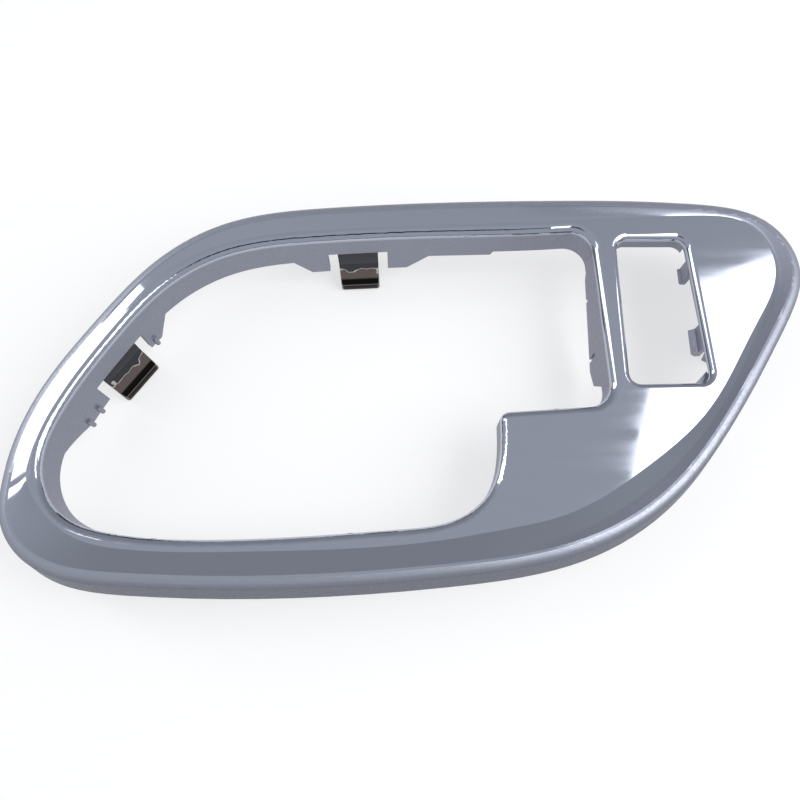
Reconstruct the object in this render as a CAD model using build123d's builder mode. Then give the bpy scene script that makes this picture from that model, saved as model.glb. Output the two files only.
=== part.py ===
from build123d import *
from math import atan, pi, tan
import os

os.makedirs("parts", exist_ok=True)

# Levels above the plane on which the clip ends and the rear legs stand
SEAT_Z = 18.0            # rear edge of the skirt, which lies on the door trim
CREST_Z = 30.0           # top of the raised rim
PANEL_Z = 28.33          # front panel on the part's middle line
PANEL_TILT = 1.5         # the panel climbs towards the upper edge, degrees
FLANGE_Z = 16.0          # rear edge of the handle opening's flange at the leading end
TAB_Z = 8.6              # rear edge of the deep tabs beside the upper clip
LEADING_TAB_Z = 6.8      # rear edge of the deep tabs beside the leading clip
SWITCH_FLANGE_Z = 23.8   # rear edge of the switch opening's flange
TRAILING_FLANGE_Z = 26.2 # rear edge of that flange on its trailing wall, which carries the fingers
FINGER_Z = 19.5          # rear end of the two switch retaining fingers

# Moulded walls and rounds
WALL = 2.4               # skirt and front skin
FLANGE_WALL = 2.0        # flange behind each opening
RIM_ROLL = 3.0           # outer roll-over of the rim
FLARE = 2.5              # the skirt's rear edge stands out beyond the rim's top
CREST_LAND = 0.7         # narrow land along the top of the rim
LIP_ROUND = 2.4          # rolled lip of the handle opening
SWITCH_ROUND = 1.7       # rolled lip of the switch opening
RIB = 1.4                # stiffening ribs on the rear

# Outer edge of the rim half way up the skirt, clockwise from the leading end
RIM_POINTS = [
    (-119.3, -28.6), (-114.0, -6.5), (-98.8, 19.3), (-82.7, 39.4), (-63.6, 52.0), (-29.7, 58.5),
    (44.9, 61.2), (89.9, 59.8), (110.9, 53.6), (119.4, 38.4), (111.0, 15.0), (90.7, -15.7),
    (74.2, -34.6), (50.0, -49.7), (10.1, -58.0), (-49.9, -61.5), (-84.1, -60.5), (-105.3, -56.2),
    (-117.3, -45.0),
]

# Crease where the rim's inner slope meets the panel, in the same order
CREASE_POINTS = [
    (-112.5, -26.6), (-107.9, -8.6), (-93.5, 15.8), (-77.8, 35.3), (-59.9, 44.4), (-27.9, 49.1),
    (44.6, 52.2), (88.1, 54.0), (104.1, 50.8), (110.4, 37.4), (101.8, 17.0), (83.6, -10.6),
    (63.6, -27.4), (41.1, -40.1), (24.0, -44.2), (7.1, -47.1), (-48.9, -50.4), (-80.9, -49.9),
    (-97.5, -46.2), (-108.3, -37.0),
]

# Handle opening: one sweep round its leading end, closed by the upright side and the step
SWEEP_POINTS = [
    (23.4, -10.0), (23.0, -22.6), (19.5, -33.5), (13.5, -39.4), (5.5, -42.6), (-5.9, -44.0),
    (-21.9, -45.2), (-61.9, -46.9), (-87.4, -45.1), (-103.0, -38.8), (-109.1, -25.6), (-105.4, -10.1),
    (-92.5, 12.0), (-77.9, 30.0), (-61.9, 40.0), (-33.9, 45.2), (8.1, 47.3), (54.3, 49.4),
]
STEP_CORNER = (56.9, -7.8)
TOP_CORNER_R = 7.0
STEP_CORNER_R = 7.0
NOSE_R = 3.0

# Switch opening, a slightly leaning rectangle
SWITCH_CORNERS = [(62.1, 46.0), (83.8, 46.0), (86.7, -1.1), (62.5, -1.5)]
SWITCH_CORNER_R = 3.5

# Spring clips on their tongues; each seat is a point of the flange's inner wall and its inward direction
UPPER_SEAT = (-19.80, 46.12)
UPPER_INWARD = (0.05, -1.0)
UPPER_CLIP_W = 13.2
UPPER_ROOT_Z = 19.6
LEADING_SEAT = (-94.4, 9.5)
LEADING_INWARD = (0.81, -0.586)
LEADING_CLIP_W = 15.0
LEADING_ROOT_Z = 17.4
SLOT = 3.2               # open slot on each side of a clip
CLIP_T = 0.7             # spring strip
CLIP_BEND = 0.9          # bends of the strip's middle line
TONGUE_T = 1.8
TONGUE_SETBACK = 1.2     # tongue behind the flange's inner wall
TONGUE_Z = 11.0          # rear end of each tongue
TONGUE_MARGIN = 0.8      # tongue narrower than its clip on each side
CLIP_REACH = 3.7         # rear bend ahead of the flange's inner wall
CLIP_HUMP = 2.2          # outer leg's retaining hump beyond the tongue

# Rear edge of the deeper flange along the upper wall, as x and height
UPPER_CURTAIN = [
    (-86.0, SEAT_Z + 2), (-86.0, FLANGE_Z), (-41.0, FLANGE_Z), (-35.6, TAB_Z), (-3.6, TAB_Z),
    (3.6, FLANGE_Z), (24.0, FLANGE_Z), (25.6, SEAT_Z + 2),
]

# Rear edge of the deeper flange at the leading end, as distance along the wall and height
LEADING_CURTAIN = [
    (24.0, SEAT_Z + 2), (24.0, FLANGE_Z), (21.0, FLANGE_Z), (15.5, LEADING_TAB_Z),
    (-20.0, LEADING_TAB_Z), (-32.0, FLANGE_Z - 2),
    (-72.0, FLANGE_Z), (-72.0, SEAT_Z + 2),
]

# Tab on the upright wall, as y and height
SIDE_TAB = [
    (42.0, SEAT_Z + 2), (38.0, SEAT_Z - 2), (9.0, TAB_Z - 0.5), (3.5, TAB_Z + 1.5), (0.0, SEAT_Z + 2),
]
SIDE_SLITS = (31.4, 12.4)
SLIT_W = 1.2
SLIT_H = 7.0

# Crush pips on the leading tabs, beside these points
PIP_POINTS = [(-86.4, 20.0), (-103.0, -3.2), (-105.5, -7.7)]
PIP_R = 0.8
PIP_H = 5.0
PIP_PROUD = 1.0          # pip end behind the tab's rear edge

# Retaining fingers on the switch opening's trailing wall, as y, width and barb, and the corner web
FINGERS = [(37.4, 5.0, 0.7), (14.2, 8.0, 1.6)]
FINGER_T = 1.6
CORNER_WEB = 2.2
WEB_T = 1.2

# Ribs on the rear, drawn from inside an opening to beyond the rim, each with its rear height
RIBS = [
    ((40.1, -5.6), (40.1, -69.6), SEAT_Z + 2.5), ((15.1, 44.4), (15.1, 70.4), SEAT_Z + 2.5),
    ((-19.9, -43.6), (-19.9, -69.6), SEAT_Z + 2.5), ((-74.9, -43.6), (-74.9, -69.6), SEAT_Z + 2.5),
    ((54.1, 20.4), (64.1, 20.4), SWITCH_FLANGE_Z), ((72.1, 42.4), (72.1, 70.4), SWITCH_FLANGE_Z + 0.4),
    ((74.1, 0.4), (74.1, -59.6), SWITCH_FLANGE_Z + 0.4),
    ((80.1, 14.2), (125.1, 14.2), SWITCH_FLANGE_Z + 0.4),
]

# Locating legs at the trailing end: foot position and the direction into the part
LEGS = [((101.6, 20.4), (-0.874, 0.485)), ((55.1, -36.6), (-0.45, 0.893))]
LEG_T = 2.4
LEG_W = 12.0
LEG_FOOT = 3.2           # hooked foot beyond the leg
LEG_FOOT_T = 2.2


def inset(curve, distance, count=48):
    """Points a set distance inside a clockwise closed curve."""
    points = []
    for i in range(count):
        along = curve % (i / count)
        points.append(curve @ (i / count) + Vector(along.Y, -along.X) * distance)
    return points


def clip_plane(seat, inward):
    """Upright plane across a clip: first axis into the opening, second axis up."""
    across = Vector(inward[0], inward[1], 0).normalized()
    return Plane(origin=(seat[0], seat[1], 0), x_dir=across, z_dir=across.cross(Vector(0, 0, 1)))


ROLL_RUN = RIM_ROLL * tan((pi / 2 - atan(FLARE / (CREST_Z - SEAT_Z))) / 2)   # the roll-over's width on top

panel = Plane.XY.offset(PANEL_Z).rotated((PANEL_TILT, 0, 0))
upper = clip_plane(UPPER_SEAT, UPPER_INWARD)
leading = clip_plane(LEADING_SEAT, LEADING_INWARD)

with BuildLine() as rim_line:
    rim_edge = Spline(*RIM_POINTS, periodic=True)
with BuildLine() as rear_line:
    Spline(*inset(rim_edge, -FLARE / 2), periodic=True)
with BuildLine() as shoulder_line:
    Spline(*inset(rim_edge, FLARE / 2), periodic=True)
with BuildLine() as crest_line:
    Spline(*inset(rim_edge, FLARE / 2 + ROLL_RUN + CREST_LAND), periodic=True)

with BuildSketch() as handle_hole:
    with BuildLine():
        Spline(*SWEEP_POINTS)
        Polyline(SWEEP_POINTS[-1], STEP_CORNER, SWEEP_POINTS[0])
    make_face()
    fillet(handle_hole.vertices().sort_by_distance(SWEEP_POINTS[-1])[0], TOP_CORNER_R)
    fillet(handle_hole.vertices().sort_by_distance(STEP_CORNER)[0], STEP_CORNER_R)
    fillet(handle_hole.vertices().sort_by_distance(SWEEP_POINTS[0])[0], NOSE_R)

with BuildSketch() as switch_hole:
    with BuildLine():
        Polyline(*SWITCH_CORNERS, close=True)
    make_face()
    fillet(switch_hole.vertices(), SWITCH_CORNER_R)

# Outer face of the handle opening's flange, its long side redrawn as a spline
with BuildSketch() as handle_offset:
    add(handle_hole.sketch)
    offset(amount=FLANGE_WALL)
with BuildSketch() as handle_block:
    with BuildLine():
        for edge in handle_offset.edges():
            if edge.geom_type in (GeomType.LINE, GeomType.CIRCLE):
                add(edge)
            else:
                Spline(*[edge @ (i / 80) for i in range(81)])
    make_face()

with BuildSketch() as handle_ring:
    add(handle_block.sketch)
    add(handle_hole.sketch, mode=Mode.SUBTRACT)

# The hollow of the front: the panel and the rim's inner slope
with BuildPart() as recess:
    with BuildSketch(panel):
        with BuildLine():
            Spline(*CREASE_POINTS, periodic=True)
        make_face()
    with BuildSketch(Plane.XY.offset(CREST_Z)):
        add(crest_line.line)
        make_face()
    loft(ruled=True)

# The hollow of the rear, one wall inside the front skin
with BuildPart() as cavity:
    with BuildSketch(Plane.XY.offset(SEAT_Z)):
        with BuildLine():
            Spline(*inset(rim_edge, WALL - FLARE / 2), periodic=True)
        make_face()
    with BuildSketch(Plane.XY.offset(CREST_Z - WALL)):
        with BuildLine():
            Spline(*inset(rim_edge, WALL + FLARE / 2), periodic=True)
        make_face()
    loft(ruled=True)
    add(recess.part.moved(Location((0, 0, -WALL))), mode=Mode.SUBTRACT)

# Deeper flange along the upper wall: the run from the leading end, two tabs and the step back
with BuildPart() as upper_curtain:
    with BuildSketch(Plane.XZ):
        with BuildLine():
            Polyline(*UPPER_CURTAIN, close=True)
        make_face()
    extrude(amount=-100)
    with BuildSketch():
        add(handle_ring.sketch)
    extrude(amount=CREST_Z, mode=Mode.INTERSECT)

# Deeper flange round the leading end, with the two tabs beside its clip
with BuildPart() as leading_curtain:
    with BuildSketch(Plane(origin=leading.origin, x_dir=leading.z_dir * -1, z_dir=leading.x_dir)):
        with BuildLine():
            Polyline(*LEADING_CURTAIN, close=True)
        make_face()
    extrude(amount=40, both=True)
    with BuildSketch():
        add(handle_ring.sketch)
    extrude(amount=CREST_Z, mode=Mode.INTERSECT)

# Tab on the upright wall between the two openings, with two slits that let it flex
with BuildPart() as side_tab:
    with BuildSketch(Plane.YZ):
        with BuildLine():
            Polyline(*SIDE_TAB, close=True)
        make_face()
        for slit_y in SIDE_SLITS:
            with Locations((slit_y, TAB_Z)):
                Rectangle(SLIT_W, 2 * SLIT_H, mode=Mode.SUBTRACT)
    extrude(amount=100)
    with BuildSketch():
        add(handle_ring.sketch)
    extrude(amount=CREST_Z, mode=Mode.INTERSECT)

# Ribs between the flanges and the skirt and the hooked locating legs, all ending inside the front skin
with BuildPart() as backing:
    for start, end, rear in RIBS:
        with BuildSketch(Plane.XY.offset(rear)):
            with BuildLine():
                Line(start, end)
            trace(line_width=RIB)
            add(Face(Wire(Spline(*inset(rim_edge, 0.9 * WALL), periodic=True))), mode=Mode.INTERSECT)
            add(handle_hole.sketch, mode=Mode.SUBTRACT)
            add(switch_hole.sketch, mode=Mode.SUBTRACT)
        extrude(amount=CREST_Z - rear)
    for seat, inward in LEGS:
        with BuildSketch(clip_plane(seat, inward)):
            with BuildLine():
                Polyline(
                    (0, CREST_Z), (LEG_T, CREST_Z), (LEG_T, 0), (-LEG_FOOT, 0), (-LEG_FOOT, LEG_FOOT_T / 2),
                    (0, LEG_FOOT_T), close=True,
                )
            make_face()
        extrude(amount=LEG_W / 2, both=True)
    split(bisect_by=panel.offset(-0.75 * WALL), keep=Keep.BOTTOM)

with BuildPart() as bezel:
    with BuildSketch(Plane.XY.offset(SEAT_Z)):
        add(rear_line.line)
        make_face()
    with BuildSketch(Plane.XY.offset(CREST_Z)):
        add(shoulder_line.line)
        make_face()
    loft(ruled=True)
    fillet(bezel.edges().group_by(Axis.Z)[-1], RIM_ROLL)
    add(cavity.part, mode=Mode.SUBTRACT)
    with BuildSketch(Plane.XY.offset(SEAT_Z)):
        add(handle_block.sketch)
    extrude(amount=CREST_Z - SEAT_Z - LIP_ROUND / 2)
    with BuildSketch(Plane.XY.offset(SWITCH_FLANGE_Z)):
        add(switch_hole.sketch)
        offset(amount=FLANGE_WALL)
    extrude(amount=CREST_Z - SWITCH_FLANGE_Z - LIP_ROUND / 2)
    add(recess.part, mode=Mode.SUBTRACT)
    with BuildSketch(Plane.XY.offset(SEAT_Z)):
        add(handle_hole.sketch)
        add(switch_hole.sketch)
    extrude(amount=CREST_Z - SEAT_Z, mode=Mode.SUBTRACT)
    front = bezel.faces().filter_by(lambda f: abs(f.normal_at().dot(panel.z_dir) - 1) < 1e-6)
    fillet(front.sort_by(SortBy.AREA)[-1].inner_wires().sort_by(SortBy.LENGTH)[-1].edges(), LIP_ROUND)
    front = bezel.faces().filter_by(lambda f: abs(f.normal_at().dot(panel.z_dir) - 1) < 1e-6)
    fillet(front.sort_by(SortBy.AREA)[-1].inner_wires().sort_by(SortBy.LENGTH)[0].edges(), SWITCH_ROUND)

    # the switch flange's trailing wall stops short of the rest
    with BuildSketch(Plane.XY.offset(SWITCH_FLANGE_Z)):
        with Locations((SWITCH_CORNERS[2][0], SWITCH_CORNERS[2][1] + SWITCH_CORNER_R)):
            Rectangle(
                3 * FLANGE_WALL, SWITCH_CORNERS[1][1] - SWITCH_CORNERS[2][1] - SWITCH_CORNER_R,
                align=(Align.CENTER, Align.MIN),
            )
    extrude(amount=TRAILING_FLANGE_Z - SWITCH_FLANGE_Z, mode=Mode.SUBTRACT)
    # flange depth round the handle opening
    add(upper_curtain.part)
    add(leading_curtain.part)
    add(side_tab.part)
    # open slots beside each clip, then the tongue that carries it
    for plane, width, root in (
        (upper, UPPER_CLIP_W, UPPER_ROOT_Z), (leading, LEADING_CLIP_W, LEADING_ROOT_Z),
    ):
        with BuildSketch(plane):
            with Locations((-TONGUE_SETBACK, root)):
                Rectangle(4 * FLANGE_WALL, 2 * root, align=(Align.CENTER, Align.MAX))
        extrude(amount=width / 2 + SLOT, both=True, mode=Mode.SUBTRACT)
        with BuildSketch(plane):
            with Locations((-TONGUE_SETBACK, TONGUE_Z)):
                Rectangle(TONGUE_T, root + TONGUE_T - TONGUE_Z, align=(Align.MAX, Align.MIN))
        extrude(amount=width / 2 - TONGUE_MARGIN, both=True)
    # crush pips on the leading tabs
    outline = handle_hole.sketch.faces()[0].outer_wire()
    for pip in PIP_POINTS:
        foot = outline.distance_to_with_closest_points(Vertex(*pip))[1]
        with Locations((foot.X, foot.Y, LEADING_TAB_Z - PIP_PROUD)):
            Cylinder(PIP_R, PIP_H, align=(Align.CENTER, Align.CENTER, Align.MIN))
    # switch fingers with a small barb each, and the web across one lower corner
    for finger_y, finger_w, barb in FINGERS:
        share = (SWITCH_CORNERS[1][1] - finger_y) / (SWITCH_CORNERS[1][1] - SWITCH_CORNERS[2][1])
        wall_x = SWITCH_CORNERS[1][0] + share * (SWITCH_CORNERS[2][0] - SWITCH_CORNERS[1][0])
        with BuildSketch(Plane.XZ.offset(-finger_y)):
            with BuildLine():
                Polyline(
                    (wall_x, TRAILING_FLANGE_Z + 0.5), (wall_x + FINGER_T, TRAILING_FLANGE_Z + 0.5),
                    (wall_x + FINGER_T, FINGER_Z), (wall_x, FINGER_Z), (wall_x - barb, FINGER_Z + barb),
                    (wall_x, FINGER_Z + 2 * barb), close=True,
                )
            make_face()
        extrude(amount=finger_w / 2, both=True)
    with BuildSketch(Plane.XY.offset(SWITCH_FLANGE_Z)):
        with BuildLine():
            web_x, web_y = SWITCH_CORNERS[2]
            Polyline(
                (web_x, web_y), (web_x - 2 * CORNER_WEB, web_y), (web_x, web_y + 2 * CORNER_WEB), close=True,
            )
        make_face()
    extrude(amount=WEB_T)
    add(backing.part)

bezel.part.label = "bezel"
export_step(bezel.part, "parts/bezel.step")


def clip_path(root):
    """Middle line of a clip's strip in its upright plane, from the inner leg round to the outer leg."""
    inner = -TONGUE_SETBACK + CLIP_T / 2
    outer = -TONGUE_SETBACK - TONGUE_T - CLIP_T / 2
    tip = CLIP_REACH - CLIP_T / 2
    low = CLIP_T / 2
    return [
        (inner, root - CLIP_T), (inner, TONGUE_Z + CLIP_T), (tip - CLIP_BEND / 3, 4 * CLIP_BEND), (tip, low),
        (tip - 2.4 * CLIP_BEND, low), (outer - CLIP_HUMP, TONGUE_Z), (outer, TONGUE_Z + 4.6),
        (outer - CLIP_T, TONGUE_Z + 6.2),
    ]


with BuildPart() as upper_clip:
    with BuildSketch(upper):
        with BuildLine():
            FilletPolyline(*clip_path(UPPER_ROOT_Z), radius=CLIP_BEND)
        trace(line_width=CLIP_T)
    extrude(amount=UPPER_CLIP_W / 2, both=True)

upper_clip.part.label = "upper_clip"
export_step(upper_clip.part, "parts/upper_clip.step")

with BuildPart() as leading_clip:
    with BuildSketch(leading):
        with BuildLine():
            FilletPolyline(*clip_path(LEADING_ROOT_Z), radius=CLIP_BEND)
        trace(line_width=CLIP_T)
    extrude(amount=LEADING_CLIP_W / 2, both=True)

leading_clip.part.label = "leading_clip"
export_step(leading_clip.part, "parts/leading_clip.step")
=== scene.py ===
import math

import bpy
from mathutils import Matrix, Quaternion, Vector


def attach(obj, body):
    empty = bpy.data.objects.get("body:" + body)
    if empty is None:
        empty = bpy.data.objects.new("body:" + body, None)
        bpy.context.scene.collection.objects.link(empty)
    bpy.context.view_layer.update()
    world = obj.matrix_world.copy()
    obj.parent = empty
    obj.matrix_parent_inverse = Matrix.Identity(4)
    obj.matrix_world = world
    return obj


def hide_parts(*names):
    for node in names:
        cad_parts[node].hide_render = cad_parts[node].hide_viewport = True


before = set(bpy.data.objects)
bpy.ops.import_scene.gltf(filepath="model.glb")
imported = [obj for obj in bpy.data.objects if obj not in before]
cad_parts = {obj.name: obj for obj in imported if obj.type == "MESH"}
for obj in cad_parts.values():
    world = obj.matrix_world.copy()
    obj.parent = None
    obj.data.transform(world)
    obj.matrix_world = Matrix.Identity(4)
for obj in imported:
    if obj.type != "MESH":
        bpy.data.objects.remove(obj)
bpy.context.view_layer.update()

MM = 0.001

# The front panel, as in the solids: its height on the middle line and its tilt about X
PANEL_Z = 28.33 * MM
PANEL_TILT = math.radians(1.5)

# Bright plate: the depth behind the panel at which it is gone, and at which it is full
PLATE_FADE = (2.7 * MM, 1.5 * MM)

# The bar between the openings: what faces away from it is the rim's outer side
BAR = Vector((40, 0, 28)) * MM
OUTER_REACH = (28 * MM, 40 * MM)   # distance from the bar, measured along the way a face looks
ROLL_LEAN = (0.05, 0.20)           # sideways share of the normal where the outer side turns satin
SKIRT_SHADE_LEAN = (0.45, 0.97)          # the same, from the pale roll-over to the skirt's painted shade

# The rim's crest, dulled by hands: its height, its depth behind the panel, and its place along X
CREST_Z = (29.0 * MM, 29.6 * MM)
CREST_DEPTH = (-0.02 * MM, -0.2 * MM)
CREST_X = (30 * MM, 60 * MM)

# Surface of the plate: size of its waves, wiping streaks and satin grain, and the roughness they give
WAVE_SIZE = 12 * MM
STREAK_SIZE = 4 * MM
STREAK_TURN = math.radians(-20)
STREAK_SQUEEZE = 0.12              # the pattern's scale along a streak
GRAIN_SIZE = 0.7 * MM
BRIGHT_ROUGH = (0.04, 0.11)
SATIN_ROUGH = (0.42, 0.56)
RELIEF = 0.3 * MM
RELIEF_STRENGTH = 0.05

# The range of a noise pattern that is spread over the full effect
NOISE_SPAN = (0.3, 0.7)
STREAK_SPAN = (0.35, 0.75)

# Spring strip: tone by height from the rear, in mm; the black bands are painted shade in the bend's hollow,
# the pale band between them a painted highlight along its crest
STRIP_RISE = 20 * MM
STRIP_SHADE_BANDS = [
    (0.0, "#4E423E"), (1.4, "#4E423E"), (1.8, "#161514"), (3.5, "#161514"), (3.68, "#76706B"),
    (3.78, "#76706B"), (3.96, "#121110"), (5.9, "#121110"), (6.5, "#5F5755"), (20.0, "#5F5755"),
]
STRIP_ROUGH = (0.16, 0.3)

# A darker upper leg, a painted reflection of the dark flange: the mean height of its wavy edge, how the
# edge wanders, its fade and the thin pale line along it
DARK_TOP_EDGE = 9.6 * MM
DARK_TOP_WANDER = 1.8 * MM
WANDER_SIZE = 6 * MM
DARK_TOP_FADE = (0.0, 0.2 * MM)
PALE_LINE_SPAN = (0.22 * MM, 0.04 * MM)

# Spring clips: strip width and the direction into the opening
CLIPS = {"upper_clip": (13.2 * MM, (0.05, -1.0)), "leading_clip": (15.0 * MM, (0.81, -0.586))}
END_ROUND = 1.4 * MM               # rounding of the rolled end's corners in plan
ROUND_CUTS = (0.05, 0.2, 0.42, 0.7, 1.0)   # cuts that let the corners bend, as shares of END_ROUND
BROKEN_EDGE = 0.14 * MM
BROKEN_ANGLE = math.radians(50)
SMOOTH_ANGLE = math.radians(40)
MERGE_GAP = 0.001 * MM
FLAT_ANGLE = math.radians(0.5)

# Floor, just under the clip ends, and the white added where it is seen directly or in a mirror
FLOOR_SIZE = 6.0
FLOOR_DROP = 0.2 * MM
FLOOR_LIFT = 0.6

# Studio lamps, in metres: centre, width and height, the point aimed at, and the roll about the aim
LAMP_RADIANCE = 2.8
LAMPS = {
    "window_softbox": ((0.437, 0.161, 0.783), (0.48, 0.32), (-0.448, 0.400, 0.385), 0.0),
    "side_softbox": ((0.434, -0.120, 0.532), (0.34, 0.64), (-0.166, -0.010, 0.112), math.radians(25)),
    "left_strip": ((-0.87, 0.47, 0.80), (0.30, 1.10), (0.0, 0.0, 0.015), 0.0),
}

# Room, by direction: where the upper side darkens, and the oval flag's centre, half-axes and soft edge
UPPER_SIDE = (0.35, 0.75)
FLAG_CENTRE = (0.0, -0.40, 0.0)
FLAG_HALF = (0.40, 0.17)
FLAG_FADE = (1.1, 0.35)

# The photograph's viewpoint: close above the part, leaning back from straight down
VIEW_PLACE = (-5.9 * MM, -69.66 * MM, 227.49 * MM)
VIEW_LEAN = math.radians(17.5)
LENS = 32.085
SENSOR = 36.0
NEAR = 10 * MM


def linear(hex_colour):
    """An sRGB hex colour as linear red, green, blue and alpha."""
    parts = [int(hex_colour[i:i + 2], 16) / 255 for i in (1, 3, 5)]
    return [c / 12.92 if c <= 0.04045 else ((c + 0.055) / 1.055) ** 2.4 for c in parts] + [1.0]


def add_node(tree, kind, inputs=None, **settings):
    """Adds one node: settings are its properties, inputs its values or the sockets linked to it."""
    made = tree.nodes.new(kind)
    for name, value in settings.items():
        setattr(made, name, value)
    for name, value in (inputs or {}).items():
        if isinstance(value, bpy.types.NodeSocket):
            tree.links.new(value, made.inputs[name])
        else:
            made.inputs[name].default_value = value
    return made


def mapped(value, span, to=(0.0, 1.0)):
    """Inputs for a Map Range node that takes a value from one span to another."""
    return {"Value": value, "From Min": span[0], "From Max": span[1], "To Min": to[0], "To Max": to[1]}


def new_material(name):
    """An empty node material and its output node."""
    material = bpy.data.materials.new(name)
    material.use_nodes = True
    material.node_tree.nodes.clear()
    return material, material.node_tree, add_node(material.node_tree, "ShaderNodeOutputMaterial")


def outward_look(tree, surface):
    """How far a face leans from the front, and a mask of the faces on the rim's outer side."""
    facing = add_node(tree, "ShaderNodeVectorMath", {
        0: surface.outputs["Normal"], 1: (1, 1, 0)}, operation="MULTIPLY").outputs["Vector"]
    lean = add_node(tree, "ShaderNodeVectorMath", {0: facing}, operation="LENGTH").outputs["Value"]
    from_bar = add_node(tree, "ShaderNodeVectorMath", {
        0: surface.outputs["Object"], 1: BAR}, operation="SUBTRACT")
    outward = add_node(tree, "ShaderNodeVectorMath", {
        0: from_bar.outputs["Vector"], 1: facing}, operation="DOT_PRODUCT")
    reach = add_node(tree, "ShaderNodeMath", {0: outward.outputs["Value"], 1: lean}, operation="DIVIDE")
    outer = add_node(tree, "ShaderNodeMapRange", mapped(reach.outputs["Value"], OUTER_REACH),
                     interpolation_type="SMOOTHSTEP")
    return lean, outer.outputs["Result"]


def bright_share(tree, place, lean, outer):
    """A mask of the bright plate: the front, less the rim's outer side and its handled crest."""
    at = add_node(tree, "ShaderNodeSeparateXYZ", {"Vector": place})
    panel = add_node(tree, "ShaderNodeMath", {
        0: at.outputs["Y"], 1: math.tan(PANEL_TILT), 2: PANEL_Z}, operation="MULTIPLY_ADD")
    behind = add_node(tree, "ShaderNodeMath", {
        0: panel.outputs["Value"], 1: at.outputs["Z"]}, operation="SUBTRACT").outputs["Value"]
    forward = add_node(tree, "ShaderNodeMapRange", mapped(behind, PLATE_FADE),
                       interpolation_type="SMOOTHSTEP")
    rolled = add_node(tree, "ShaderNodeMapRange", mapped(lean, ROLL_LEAN),
                      interpolation_type="SMOOTHSTEP")
    outside = add_node(tree, "ShaderNodeMath", {
        0: outer, 1: rolled.outputs["Result"]}, operation="MULTIPLY")
    top = add_node(tree, "ShaderNodeMapRange", mapped(at.outputs["Z"], CREST_Z))
    raised = add_node(tree, "ShaderNodeMapRange", mapped(behind, CREST_DEPTH))
    trailing = add_node(tree, "ShaderNodeMapRange", mapped(at.outputs["X"], CREST_X))
    crest = add_node(tree, "ShaderNodeMath", {
        0: top.outputs["Result"], 1: raised.outputs["Result"]}, operation="MULTIPLY")
    handled = add_node(tree, "ShaderNodeMath", {
        0: crest.outputs["Value"], 1: trailing.outputs["Result"]}, operation="MULTIPLY")
    dull = add_node(tree, "ShaderNodeMath", {
        0: outside.outputs["Value"], 1: handled.outputs["Value"]}, operation="MAXIMUM")
    kept = add_node(tree, "ShaderNodeMath", {0: 1.0, 1: dull.outputs["Value"]}, operation="SUBTRACT")
    return add_node(tree, "ShaderNodeMath", {
        0: forward.outputs["Result"], 1: kept.outputs["Value"]}, operation="MULTIPLY").outputs["Value"]


def chrome_plate():
    """Bright chrome plate over moulded ABS.

    The front is a cool mirror with the faint waviness and wiping streaks of a plated moulding.
    The rim's outer side and the flanges and shelves behind the front took little of the bright
    plate and stay satin, and hands have dulled the rim's crest at the trailing end. The outer
    side's tone is painted darker as it steepens down the skirt, a painted shade.
    """
    material, tree, out = new_material("bright_chrome_over_moulded_abs")
    surface = add_node(tree, "ShaderNodeTexCoord")
    place = surface.outputs["Object"]
    lean, outer = outward_look(tree, surface)
    bright = bright_share(tree, place, lean, outer)
    wave = add_node(tree, "ShaderNodeTexNoise", {"Vector": place, "Scale": 1 / WAVE_SIZE, "Detail": 1.0})
    along = add_node(tree, "ShaderNodeMapping", {
        "Vector": place, "Rotation": (0, 0, STREAK_TURN), "Scale": (STREAK_SQUEEZE, 1.0, 1.0)})
    streak = add_node(tree, "ShaderNodeTexNoise", {
        "Vector": along.outputs["Vector"], "Scale": 1 / STREAK_SIZE, "Detail": 3.0})
    wiped = add_node(tree, "ShaderNodeMapRange", mapped(streak.outputs["Fac"], STREAK_SPAN, BRIGHT_ROUGH))
    grain = add_node(tree, "ShaderNodeTexNoise", {"Vector": place, "Scale": 1 / GRAIN_SIZE, "Detail": 2.0})
    matt = add_node(tree, "ShaderNodeMapRange", mapped(grain.outputs["Fac"], NOISE_SPAN, SATIN_ROUGH))
    rough = add_node(tree, "ShaderNodeMix", {
        "Factor": bright, "A": matt.outputs["Result"], "B": wiped.outputs["Result"]})
    # painted shade: the outer side's tone darkens from the pale roll-over to the steep skirt
    upright_shade = add_node(tree, "ShaderNodeMapRange", mapped(lean, SKIRT_SHADE_LEAN))
    skirt = add_node(tree, "ShaderNodeMix", {
        "Factor": upright_shade.outputs["Result"], "A": linear("#AEB2BE"), "B": linear("#686B78")},
        data_type="RGBA")
    satin = add_node(tree, "ShaderNodeMix", {
        "Factor": outer, "A": linear("#9093A0"), "B": skirt.outputs["Result"]}, data_type="RGBA")
    tone = add_node(tree, "ShaderNodeMix", {
        "Factor": bright, "A": satin.outputs["Result"], "B": linear("#B4B9C6")}, data_type="RGBA")
    relief = add_node(tree, "ShaderNodeMix", {
        "Factor": bright, "A": grain.outputs["Fac"], "B": wave.outputs["Fac"]})
    bump = add_node(tree, "ShaderNodeBump", {
        "Height": relief.outputs["Result"], "Strength": RELIEF_STRENGTH, "Distance": RELIEF})
    shader = add_node(tree, "ShaderNodeBsdfPrincipled", {
        "Base Color": tone.outputs["Result"], "Metallic": 1.0,
        "Roughness": rough.outputs["Result"], "Normal": bump.outputs["Normal"]})
    tree.links.new(shader.outputs["BSDF"], out.inputs["Surface"])
    return material


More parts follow.
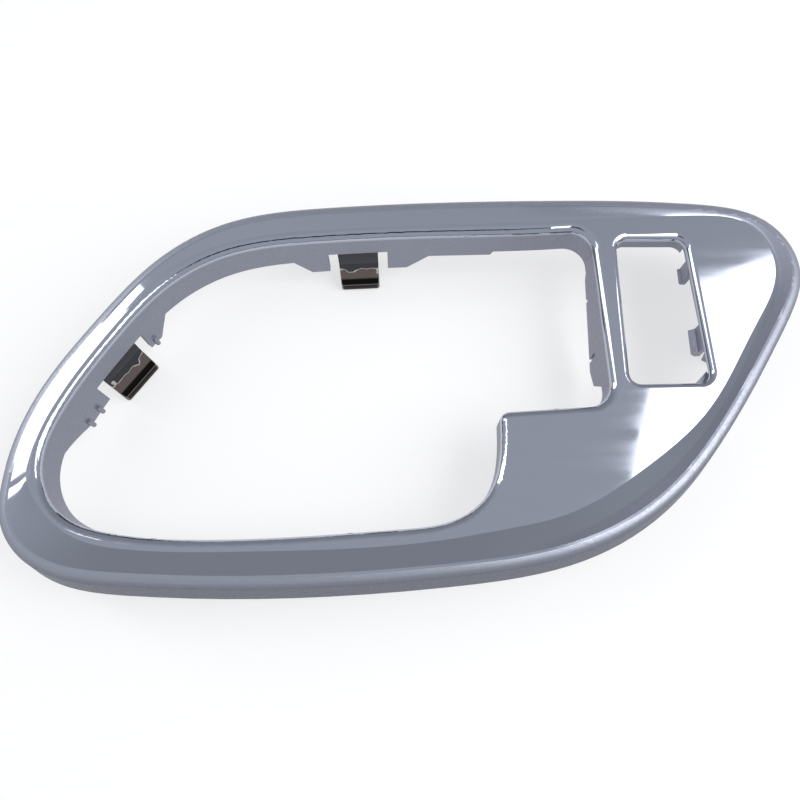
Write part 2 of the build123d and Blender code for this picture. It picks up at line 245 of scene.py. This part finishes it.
def strip_with_painted_shade():
    """Black phosphated spring steel, its tone painted by height.

    Above a wavy line the upper leg is painted darker, a painted reflection of the dark flange, with a
    thin pale line along that edge. Below it the strip is a worn brown-grey, painted black as shade in
    the hollow of the bend, with a painted highlight along the bend's crest.
    """
    material, tree, out = new_material("black_phosphated_spring_steel_painted_shade")
    place = add_node(tree, "ShaderNodeTexCoord").outputs["Object"]
    height = add_node(tree, "ShaderNodeSeparateXYZ", {"Vector": place}).outputs["Z"]
    level = add_node(tree, "ShaderNodeMath", {0: height, 1: 1 / STRIP_RISE}, operation="MULTIPLY")
    # painted shade and a painted highlight at the bend, laid on by height
    ramp = add_node(tree, "ShaderNodeValToRGB", {"Fac": level.outputs["Value"]})
    bands = ramp.color_ramp.elements
    for stop, (top, colour) in enumerate(STRIP_SHADE_BANDS):
        band = bands[stop] if stop < 2 else bands.new(top * MM / STRIP_RISE)
        band.position = top * MM / STRIP_RISE
        band.color = linear(colour)
    drift = add_node(tree, "ShaderNodeTexNoise", {"Vector": place, "Scale": 1 / WANDER_SIZE, "Detail": 2.0})
    edge = add_node(tree, "ShaderNodeMapRange", mapped(
        drift.outputs["Fac"], NOISE_SPAN, (DARK_TOP_EDGE - DARK_TOP_WANDER, DARK_TOP_EDGE + DARK_TOP_WANDER)))
    above = add_node(tree, "ShaderNodeMath", {
        0: height, 1: edge.outputs["Result"]}, operation="SUBTRACT").outputs["Value"]
    dark_top = add_node(tree, "ShaderNodeMapRange", mapped(above, DARK_TOP_FADE))
    from_rim = add_node(tree, "ShaderNodeMath", {0: above}, operation="ABSOLUTE")
    rim = add_node(tree, "ShaderNodeMapRange", mapped(from_rim.outputs["Value"], PALE_LINE_SPAN))
    # above the wavy edge the strip is painted darker, a painted reflection of the dark flange
    bands_and_dark_top = add_node(tree, "ShaderNodeMix", {
        "Factor": dark_top.outputs["Result"], "A": ramp.outputs["Color"], "B": linear("#3D3E42")},
        data_type="RGBA")
    # a thin pale line along the wavy edge
    tone = add_node(tree, "ShaderNodeMix", {
        "Factor": rim.outputs["Result"], "A": bands_and_dark_top.outputs["Result"], "B": linear("#B9B5B0")},
        data_type="RGBA")
    rough = add_node(tree, "ShaderNodeMapRange", mapped(drift.outputs["Fac"], NOISE_SPAN, STRIP_ROUGH))
    shader = add_node(tree, "ShaderNodeBsdfPrincipled", {
        "Base Color": tone.outputs["Result"], "Metallic": 1.0, "Roughness": rough.outputs["Result"]})
    tree.links.new(shader.outputs["BSDF"], out.inputs["Surface"])
    return material


def pale_floor():
    """Plain white paper floor that reads white in the picture and still takes the shadow."""
    material, tree, out = new_material("white_paper_floor")
    ray = add_node(tree, "ShaderNodeLightPath")
    direct = add_node(tree, "ShaderNodeMath", {
        0: ray.outputs["Is Camera Ray"], 1: ray.outputs["Is Glossy Ray"]}, operation="MAXIMUM")
    seen = add_node(tree, "ShaderNodeMath", {
        0: direct.outputs["Value"], 1: ray.outputs["Is Transmission Ray"]}, operation="MAXIMUM")
    lift = add_node(tree, "ShaderNodeMath", {0: seen.outputs["Value"], 1: FLOOR_LIFT}, operation="MULTIPLY")
    paper = add_node(tree, "ShaderNodeBsdfDiffuse", {"Color": linear("#B2B2B2")})
    glow = add_node(tree, "ShaderNodeEmission", {"Strength": lift.outputs["Value"]})
    both = add_node(tree, "ShaderNodeAddShader", {0: paper.outputs["BSDF"], 1: glow.outputs["Emission"]})
    tree.links.new(both.outputs["Shader"], out.inputs["Surface"])
    return material


def dress(node, material):
    """Gives a CAD node its finished material."""
    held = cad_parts[node].data.materials
    held.clear()
    held.append(material)


def spring_clip(node, width, into, material):
    """The clip's strip with its rolled end's corners rounded in plan and its edges broken."""
    inward = Vector((into[0], into[1], 0)).normalized()
    across = Vector((-inward.y, inward.x, 0))
    strip = bpy.data.objects.new(node + "_strip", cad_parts[node].data.copy())
    bpy.context.scene.collection.objects.link(strip)
    bpy.ops.object.select_all(action="DESELECT")
    strip.select_set(True)
    bpy.context.view_layer.objects.active = strip
    middle = sum(v.co.dot(across) for v in strip.data.vertices) / len(strip.data.vertices)

    # merge the copy's loose triangles into flat faces and cut them where the corners will bend
    bpy.ops.object.mode_set(mode="EDIT")
    bpy.ops.mesh.select_all(action="SELECT")
    bpy.ops.mesh.remove_doubles(threshold=MERGE_GAP)
    bpy.ops.mesh.dissolve_limited(angle_limit=FLAT_ANGLE)
    for share in ROUND_CUTS:
        for side in (-1, 1):
            cut = middle + side * (width / 2 - share * END_ROUND)
            bpy.ops.mesh.select_all(action="SELECT")
            bpy.ops.mesh.bisect(plane_co=across * cut, plane_no=across)
    bpy.ops.object.mode_set(mode="OBJECT")

    # draw what lies outside the corner's circle back onto it
    tip = max(v.co.dot(inward) for v in strip.data.vertices)
    for v in strip.data.vertices:
        out = v.co.dot(across) - middle
        past_side = abs(out) - (width / 2 - END_ROUND)
        past_tip = v.co.dot(inward) - (tip - END_ROUND)
        reach = math.hypot(past_side, past_tip)
        if past_side > 0 and past_tip > 0 and reach > END_ROUND:
            back = 1 - END_ROUND / reach
            v.co -= across * math.copysign(past_side * back, out) + inward * past_tip * back

    edges = strip.modifiers.new("broken_edges", "BEVEL")
    edges.width = BROKEN_EDGE
    edges.segments = 2
    edges.limit_method = "ANGLE"
    edges.angle_limit = BROKEN_ANGLE
    bpy.ops.object.modifier_apply(modifier=edges.name)
    bpy.ops.object.shade_smooth_by_angle(angle=SMOOTH_ANGLE)
    strip.data.materials.clear()
    strip.data.materials.append(material)
    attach(strip, "root")
    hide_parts(node)


def softbox(name, centre, size, aim, roll):
    """A rectangular studio lamp of one brightness, aimed at a point and rolled about its aim."""
    lamp = bpy.data.lights.new(name, "AREA")
    lamp.shape = "RECTANGLE"
    lamp.size, lamp.size_y = size
    lamp.energy = LAMP_RADIANCE * math.pi * size[0] * size[1]
    held = bpy.data.objects.new(name, lamp)
    held.location = centre
    turn = (held.location - Vector(aim)).to_track_quat("Z", "Y")
    held.rotation_euler = (turn @ Quaternion((0, 0, 1), roll)).to_euler()
    bpy.context.scene.collection.objects.link(held)


def studio():
    """A cool grey room, darker towards the upper side, with an oval dark flag behind the camera.

    The flag, seen in the lips, gives the fine dark lines that make chrome read as chrome.
    """
    world = bpy.data.worlds.new("studio")
    world.use_nodes = True
    tree = world.node_tree
    toward = add_node(tree, "ShaderNodeTexCoord").outputs["Generated"]
    axes = add_node(tree, "ShaderNodeSeparateXYZ", {"Vector": toward})
    upper_side = add_node(tree, "ShaderNodeMapRange", mapped(axes.outputs["Y"], UPPER_SIDE))
    room = add_node(tree, "ShaderNodeMix", {
        "Factor": upper_side.outputs["Result"], "A": linear("#C6C8CD"), "B": linear("#A6A7AC")},
        data_type="RGBA")
    off_flag = add_node(tree, "ShaderNodeVectorMath", {0: toward, 1: FLAG_CENTRE}, operation="SUBTRACT")
    spread = add_node(tree, "ShaderNodeVectorMath", {
        0: off_flag.outputs["Vector"], 1: (1 / FLAG_HALF[0], 1 / FLAG_HALF[1], 0.0)}, operation="MULTIPLY")
    oval = add_node(tree, "ShaderNodeVectorMath", {0: spread.outputs["Vector"]}, operation="LENGTH")
    flag = add_node(tree, "ShaderNodeMapRange", mapped(oval.outputs["Value"], FLAG_FADE),
                    interpolation_type="SMOOTHSTEP")
    seen = add_node(tree, "ShaderNodeMix", {
        "Factor": flag.outputs["Result"], "A": room.outputs["Result"], "B": linear("#2A2B30")},
        data_type="RGBA")
    tree.links.new(seen.outputs["Result"], tree.nodes["Background"].inputs["Color"])
    return world


dress("bezel", chrome_plate())
strip_finish = strip_with_painted_shade()
for clip, (strip_width, strip_inward) in CLIPS.items():
    spring_clip(clip, strip_width, strip_inward, strip_finish)

bpy.ops.object.select_all(action="DESELECT")
bpy.ops.mesh.primitive_plane_add(size=FLOOR_SIZE, location=(0, 0, -FLOOR_DROP))
floor = bpy.context.object
floor.name = "floor"
floor.data.materials.append(pale_floor())

for lamp_name, lamp_values in LAMPS.items():
    softbox(lamp_name, *lamp_values)
bpy.context.scene.world = studio()

camera = bpy.data.cameras.new("camera")
camera.sensor_width = SENSOR
camera.lens = LENS
camera.clip_start = NEAR
view = bpy.data.objects.new("camera", camera)
view.location = VIEW_PLACE
view.rotation_euler = (VIEW_LEAN, 0, 0)
bpy.context.scene.collection.objects.link(view)
bpy.context.scene.camera = view

bpy.context.scene.view_settings.view_transform = "Standard"
